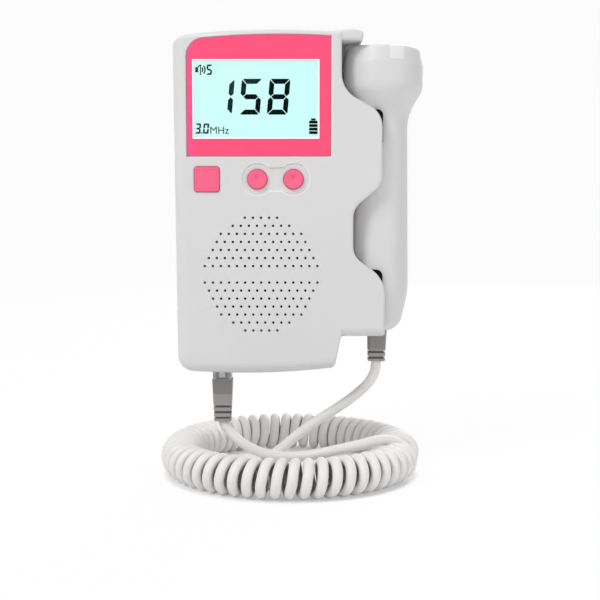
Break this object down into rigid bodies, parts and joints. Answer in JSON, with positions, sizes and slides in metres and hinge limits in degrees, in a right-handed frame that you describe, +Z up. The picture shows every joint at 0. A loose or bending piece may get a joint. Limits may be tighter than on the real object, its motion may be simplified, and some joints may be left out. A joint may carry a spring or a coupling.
{
  "type": "fetal doppler monitor",
  "caption": "Handheld fetal doppler monitor: flat housing with lit display, buttons and speaker grille, a probe docked in a side cradle and a curly cord.",
  "frame": {"origin": "centre of the flat back face of the housing", "axes": "+Y out of the back, so the display faces -Y; +X to the right as seen from the front, towards the probe; +Z up"},
  "size_m": [0.1057, 0.1052, 0.1767],
  "materials": {
    "housing": "warm light grey-white moulded plastic, satin",
    "pink_trim": "pink trim, satin",
    "pink_button": "pink moulded buttons, satin",
    "clear_window": "clear lens",
    "lcd_glass": "pale cyan lit display",
    "light_guide": "white light guide",
    "black_plastic": "black moulded plastic",
    "circuit_board": "green circuit board",
    "screw_steel": "zinc-plated screws",
    "speaker_steel": "pressed steel basket",
    "magnet": "sintered magnet",
    "speaker_paper": "black paper cone",
    "cell_can": "plain sleeved cell",
    "contact_steel": "nickel-plated spring steel",
    "black_rubber": "black rubber pads",
    "acoustic_face": "smooth acoustic face",
    "crystal": "ceramic crystal discs",
    "clear_plug": "clear modular plug",
    "grey_boot": "grey moulded strain relief",
    "cord_jacket": "light grey cord jacket"
  },
  "bodies": {
    "unit": {"front_housing": "housing", "rear_housing": "housing", "display_bezel": "pink_trim", "display_window": "clear_window", "lcd_panel": "lcd_glass", "lcd_backlight": "light_guide", "button_switches": "black_plastic", "main_board": "circuit_board", "board_screws": "screw_steel", "speaker_frame": "speaker_steel", "speaker_magnet": "magnet", "speaker_cone": "speaker_paper", "battery_upper": "cell_can", "battery_lower": "cell_can", "battery_contacts": "contact_steel", "unit_jack": "black_plastic", "headphone_jack": "black_plastic", "housing_screws": "screw_steel", "dock_pads": "black_rubber", "unit_plug": "clear_plug", "unit_plug_boot": "grey_boot", "cord_tail_unit": "cord_jacket", "cord_coil": "cord_jacket", "cord_tail_probe": "cord_jacket"},
    "power_button": {"power_button": "pink_button"},
    "volume_down_button": {"volume_down_button": "pink_button"},
    "volume_up_button": {"volume_up_button": "pink_button"},
    "battery_cover": {"battery_cover": "housing"},
    "probe": {"probe_shell_front": "housing", "probe_shell_rear": "housing", "probe_face": "acoustic_face", "probe_crystals": "crystal", "probe_board": "circuit_board", "probe_jack": "black_plastic", "probe_plug": "clear_plug", "probe_plug_boot": "grey_boot"}
  },
  "joints": [
    {"name": "power_press", "type": "slide", "parent": "unit", "child": "power_button", "axis": [0, 1, 0], "range_m": [0, 0.0007], "stiffness_N_per_m": 2500},
    {"name": "volume_down_press", "type": "slide", "parent": "unit", "child": "volume_down_button", "axis": [0, 1, 0], "range_m": [0, 0.0007], "stiffness_N_per_m": 2500},
    {"name": "volume_up_press", "type": "slide", "parent": "unit", "child": "volume_up_button", "axis": [0, 1, 0], "range_m": [0, 0.0007], "stiffness_N_per_m": 2500},
    {"name": "battery_cover_slide", "type": "slide", "parent": "unit", "child": "battery_cover", "axis": [0, 0, -1], "range_m": [0, 0.026]},
    {"name": "probe_slide", "type": "slide", "parent": "unit", "child": "probe", "axis": [0.9998, 0, -0.019], "range_m": [0, 0.032]}
  ]
}
